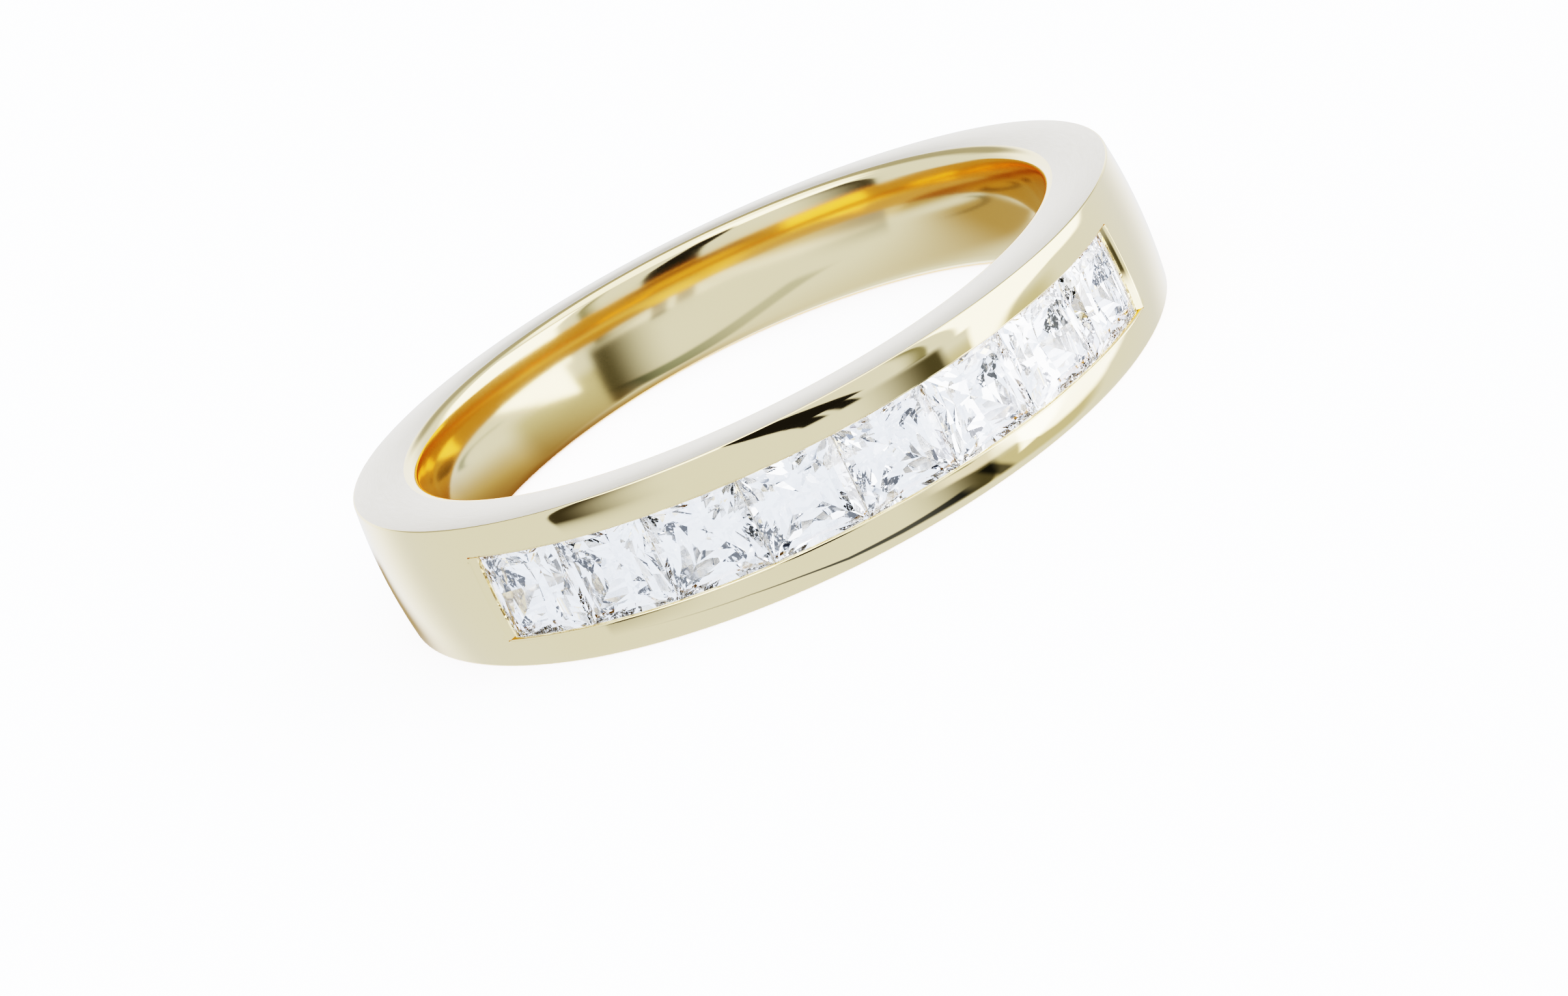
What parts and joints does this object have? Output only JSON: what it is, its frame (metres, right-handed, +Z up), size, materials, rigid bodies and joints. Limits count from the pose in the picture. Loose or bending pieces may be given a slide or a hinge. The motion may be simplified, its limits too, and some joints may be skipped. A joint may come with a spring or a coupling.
{
  "type": "channel set band",
  "caption": "Gold finger ring with a row of square faceted stones held between two plain rails; it rests on its flat side face.",
  "frame": {"origin": "middle of the finger hole, on its axis and halfway across its land", "axes": "+Z up, square to the surface that the ring lies on, 1.7 degrees from the finger hole's axis because the band narrows towards its back; -Y from the hole to the middle of the row of stones; +X to the right along the row"},
  "size_m": [0.0212, 0.0205, 0.0042],
  "materials": {
    "gold": "polished outside, rails and inside, satin on the two side faces",
    "stone": "polished facets"
  },
  "bodies": {
    "root": {"band": "gold", "stone_1": "stone", "stone_2": "stone", "stone_3": "stone", "stone_4": "stone", "stone_5": "stone", "stone_6": "stone", "stone_7": "stone", "stone_8": "stone"}
  },
  "joints": []
}
